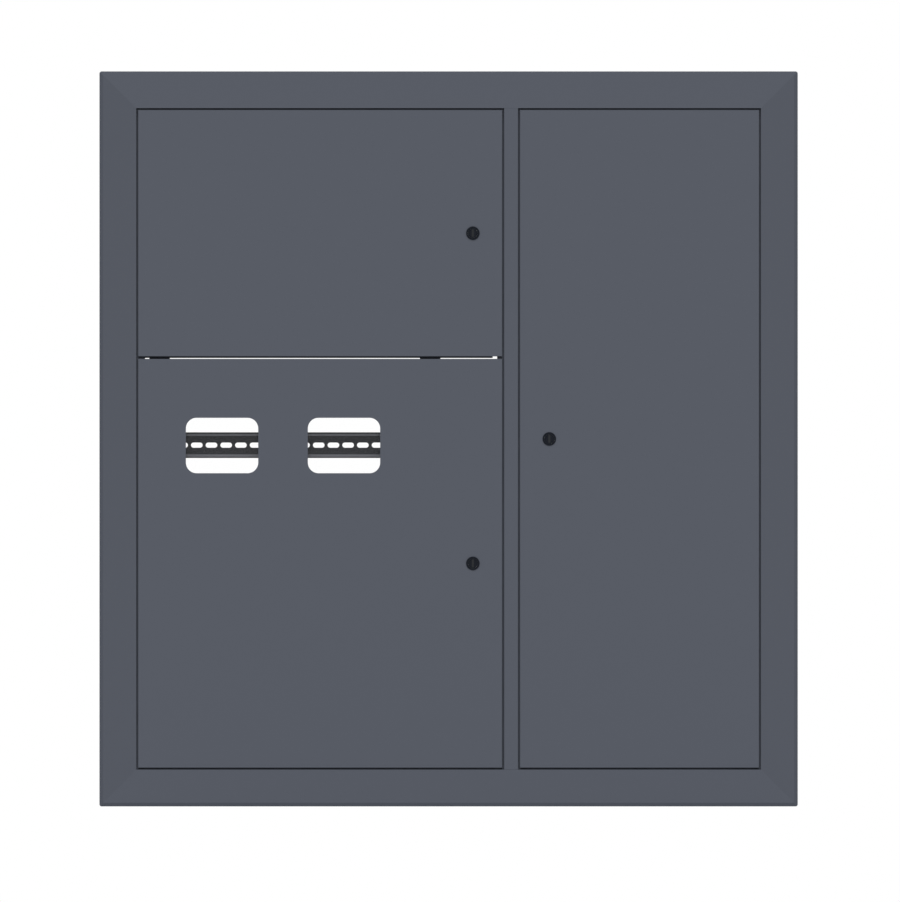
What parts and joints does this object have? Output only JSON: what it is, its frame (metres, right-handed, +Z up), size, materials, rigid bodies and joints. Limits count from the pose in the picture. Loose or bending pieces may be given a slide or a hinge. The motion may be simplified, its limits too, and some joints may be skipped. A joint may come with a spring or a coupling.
{
  "type": "floor distribution cabinet",
  "caption": "Flush wall-niche distribution cabinet: mitred trim frame, stacked left doors, tall right door, windows in the lower door over slotted rails, open back.",
  "frame": {"origin": "centre of the four wall-fixing holes in the rear flanges, on the back plane", "axes": "+X to the right seen from the front, +Y from the doors into the wall, +Z up"},
  "size_m": [0.95, 0.14, 1],
  "materials": {
    "grey_paint": "fine textured powder coat",
    "rail_steel": "satin coated rail steel",
    "zinc_plated": "zinc plated",
    "black_lock": "black, satin",
    "brass": "bare",
    "insulator": "moulded",
    "clear_pane": "clear polycarbonate sheet"
  },
  "bodies": {
    "cabinet": {"bottom_wall": "grey_paint", "breaker_cover": "grey_paint", "breaker_rail_lower": "rail_steel", "breaker_rail_upper": "rail_steel", "centre_post": "grey_paint", "compartment_shelf": "grey_paint", "cover_standoffs": "zinc_plated", "earth_bar": "brass", "earth_bar_supports": "zinc_plated", "earth_stud": "zinc_plated", "left_wall": "grey_paint", "low_voltage_strip_lower": "grey_paint", "low_voltage_strip_upper": "grey_paint", "lower_hinge_knuckles": "grey_paint", "meter_bar_lower": "grey_paint", "meter_bar_upper": "grey_paint", "meter_rail_left": "rail_steel", "meter_rail_right": "rail_steel", "meter_straps_left": "grey_paint", "meter_straps_right": "grey_paint", "neutral_bar": "brass", "neutral_insulators": "insulator", "partition_wall": "grey_paint", "right_hinge_knuckles": "grey_paint", "right_wall": "grey_paint", "top_wall": "grey_paint", "trim_bottom": "grey_paint", "trim_left": "grey_paint", "trim_right": "grey_paint", "trim_top": "grey_paint", "upper_hinge_knuckles": "grey_paint", "upright_left": "grey_paint", "upright_right": "grey_paint"},
    "upper_door": {"upper_door": "grey_paint", "upper_door_stiffener": "grey_paint", "upper_hinge_brackets": "zinc_plated", "upper_hinge_pins": "zinc_plated", "upper_lock_housing": "black_lock"},
    "upper_lock": {"upper_lock_rotor": "black_lock", "upper_lock_cam": "zinc_plated"},
    "lower_door": {"lower_door": "grey_paint", "lower_door_stiffener": "grey_paint", "lower_hinge_brackets": "zinc_plated", "lower_hinge_pins": "zinc_plated", "lower_lock_housing": "black_lock", "window_pane_left": "clear_pane", "window_pane_right": "clear_pane", "window_retainer_left": "grey_paint", "window_retainer_right": "grey_paint"},
    "lower_lock": {"lower_lock_rotor": "black_lock", "lower_lock_cam": "zinc_plated"},
    "right_door": {"right_door": "grey_paint", "right_door_stiffener": "grey_paint", "right_hinge_brackets": "zinc_plated", "right_hinge_pins": "zinc_plated", "right_lock_housing": "black_lock"},
    "right_lock": {"right_lock_rotor": "black_lock", "right_lock_cam": "zinc_plated"}
  },
  "joints": [
    {"name": "upper_door_hinge", "type": "hinge", "parent": "cabinet", "child": "upper_door", "pos_m": [-0.4145, -0.1325, 0.27985], "axis": [0, 0, -1], "range_deg": [0, 110]},
    {"name": "lower_door_hinge", "type": "hinge", "parent": "cabinet", "child": "lower_door", "pos_m": [-0.4145, -0.1325, -0.1693], "axis": [0, 0, -1], "range_deg": [0, 110]},
    {"name": "right_door_hinge", "type": "hinge", "parent": "cabinet", "child": "right_door", "pos_m": [0.4145, -0.1325, 0], "axis": [0, 0, 1], "range_deg": [0, 110]},
    {"name": "upper_lock_turn", "type": "hinge", "parent": "upper_door", "child": "upper_lock", "pos_m": [0.033, -0.127, 0.27985], "axis": [0, -1, 0], "range_deg": [0, 90]},
    {"name": "lower_lock_turn", "type": "hinge", "parent": "lower_door", "child": "lower_lock", "pos_m": [0.033, -0.127, -0.1693], "axis": [0, -1, 0], "range_deg": [0, 90]},
    {"name": "right_lock_turn", "type": "hinge", "parent": "right_door", "child": "right_lock", "pos_m": [0.137, -0.127, 0], "axis": [0, 1, 0], "range_deg": [0, 90]}
  ]
}
